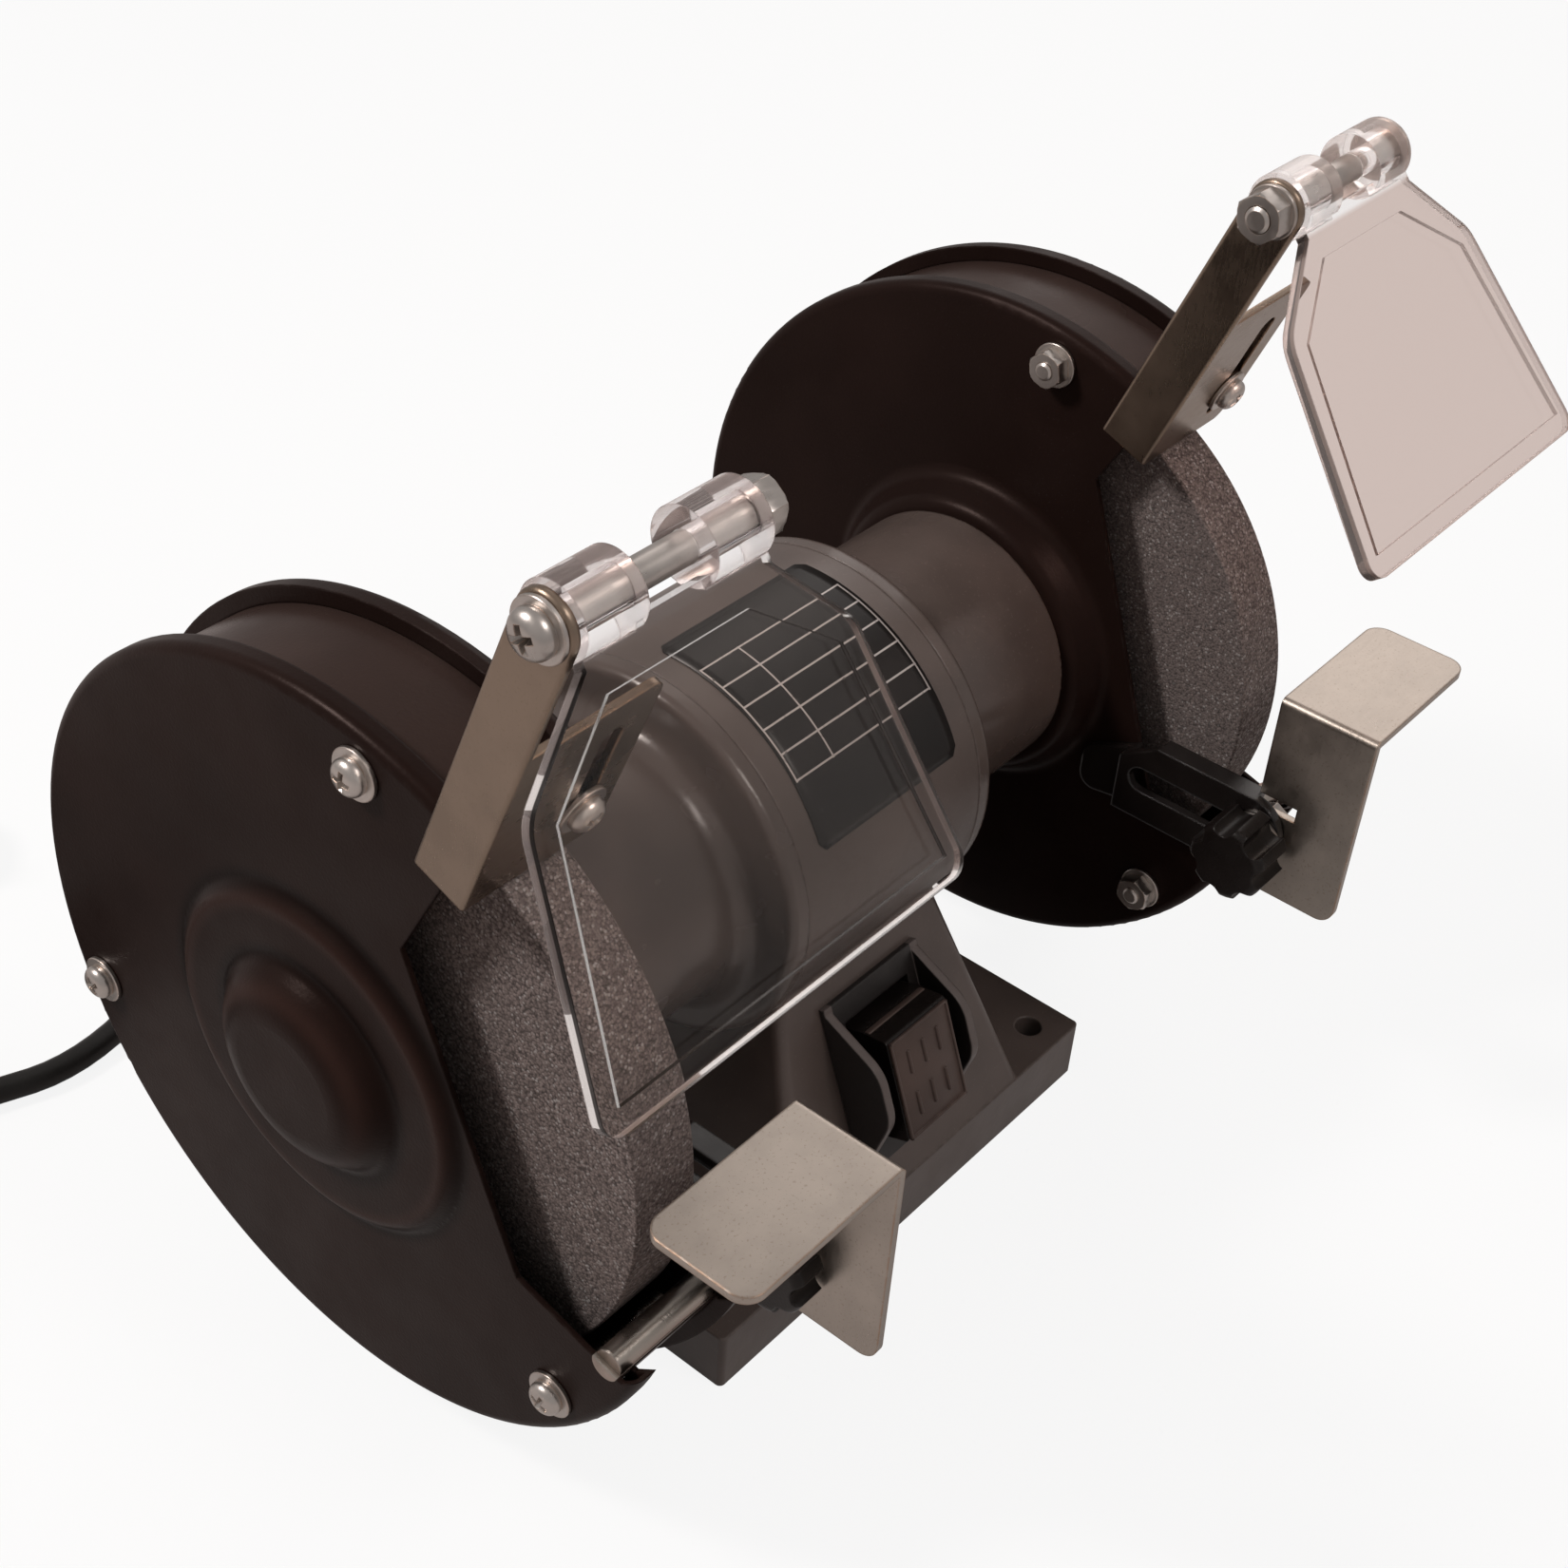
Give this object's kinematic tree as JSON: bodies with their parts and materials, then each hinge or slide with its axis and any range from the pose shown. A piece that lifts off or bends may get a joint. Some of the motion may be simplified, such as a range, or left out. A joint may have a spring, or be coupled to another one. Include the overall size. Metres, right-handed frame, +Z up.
{
  "type": "bench grinder",
  "caption": "Bench grinder with guarded wheels on a motor pedestal, sliding tool rests with star knobs, tilting clear eye shields, rocker switch and mains lead.",
  "frame": {"origin": "middle of the base's bolt pattern on its underside, below the middle of the shaft", "axes": "+X along the shaft to the right, -Y towards the operator, +Z up"},
  "size_m": [0.3714, 0.3568, 0.2436],
  "materials": {
    "casting": "painted grey, semi-gloss",
    "guard_black": "satin black",
    "zinc": "zinc plated",
    "black_steel": "gloss black",
    "abrasive": "grainy grey",
    "steel": "turned",
    "laminations": "stacked sheet",
    "copper": "varnished wire",
    "clear": "clear",
    "black_plastic": "moulded",
    "cord_black": "matt",
    "switch_grey": "moulded",
    "can": "drawn"
  },
  "bodies": {
    "frame": {"motor_frame": "casting", "base_plate": "zinc", "base_plate_screws": "zinc", "guard_screws": "zinc", "guard_nuts": "zinc", "cover_screws": "zinc", "bracket_screws": "zinc", "stator_core": "laminations", "stator_windings": "copper", "capacitor": "can", "switch_body": "switch_grey", "cord_gland": "cord_black", "mains_cord": "cord_black", "cord_coil": "cord_black", "cord_tie": "black_plastic", "mains_plug": "black_plastic", "left_end_bell": "casting", "left_inner_cover": "guard_black", "left_outer_cover": "guard_black", "left_guard_band": "guard_black", "left_rest_arm": "black_steel", "left_bearing": "steel", "right_end_bell": "casting", "right_inner_cover": "guard_black", "right_outer_cover": "guard_black", "right_guard_band": "guard_black", "right_rest_arm": "black_steel", "right_bearing": "steel"},
    "rotor": {"shaft": "steel", "rotor_core": "laminations", "left_wheel": "abrasive", "left_inner_flange": "steel", "left_outer_flange": "steel", "left_spindle_nut": "zinc", "right_wheel": "abrasive", "right_inner_flange": "steel", "right_outer_flange": "steel", "right_spindle_nut": "zinc"},
    "left_rest": {"left_tool_rest": "zinc", "left_rest_nut": "zinc"},
    "left_knob": {"left_rest_knob": "black_plastic", "left_rest_stud": "zinc"},
    "left_bracket": {"left_shield_bracket": "zinc", "left_shield_bolt": "zinc", "left_shield_nut": "zinc"},
    "left_shield": {"left_eye_shield": "clear"},
    "right_rest": {"right_tool_rest": "zinc", "right_rest_nut": "zinc"},
    "right_knob": {"right_rest_knob": "black_plastic", "right_rest_stud": "zinc"},
    "right_bracket": {"right_shield_bracket": "zinc", "right_shield_bolt": "zinc", "right_shield_nut": "zinc"},
    "right_shield": {"right_eye_shield": "clear"},
    "switch_rocker": {"rocker": "switch_grey"}
  },
  "joints": [
    {"name": "spindle_spin", "type": "hinge", "parent": "frame", "child": "rotor", "pos_m": [0, 0, 0.102], "axis": [1, 0, 0], "continuous": true},
    {"name": "left_rest_slide", "type": "slide", "parent": "frame", "child": "left_rest", "axis": [0, 1, 0], "range_m": [0, 0.008]},
    {"name": "left_knob_turn", "type": "hinge", "parent": "left_rest", "child": "left_knob", "pos_m": [-0.085, -0.091, 0.087], "axis": [-1, 0, 0], "range_deg": [0, 300]},
    {"name": "left_bracket_slide", "type": "slide", "parent": "frame", "child": "left_bracket", "axis": [0, -0.3584, 0.9336], "range_m": [-0.001, 0.004]},
    {"name": "left_shield_tilt", "type": "hinge", "parent": "left_bracket", "child": "left_shield", "pos_m": [-0.1073, -0.06146, 0.23618], "axis": [-1, 0, 0], "range_deg": [-4, 108]},
    {"name": "right_rest_slide", "type": "slide", "parent": "frame", "child": "right_rest", "axis": [0, 1, 0], "range_m": [0, 0.008]},
    {"name": "right_knob_turn", "type": "hinge", "parent": "right_rest", "child": "right_knob", "pos_m": [0.085, -0.091, 0.087], "axis": [-1, 0, 0], "range_deg": [0, 300]},
    {"name": "right_bracket_slide", "type": "slide", "parent": "frame", "child": "right_bracket", "axis": [0, -0.3584, 0.9336], "range_m": [-0.001, 0.004]},
    {"name": "right_shield_tilt", "type": "hinge", "parent": "right_bracket", "child": "right_shield", "pos_m": [0.1073, -0.06146, 0.23618], "axis": [-1, 0, 0], "range_deg": [-15, 96]},
    {"name": "rocker_tilt", "type": "hinge", "parent": "frame", "child": "switch_rocker", "pos_m": [0, -0.04605, 0.04505], "axis": [1, 0, 0], "range_deg": [0, 12]}
  ]
}
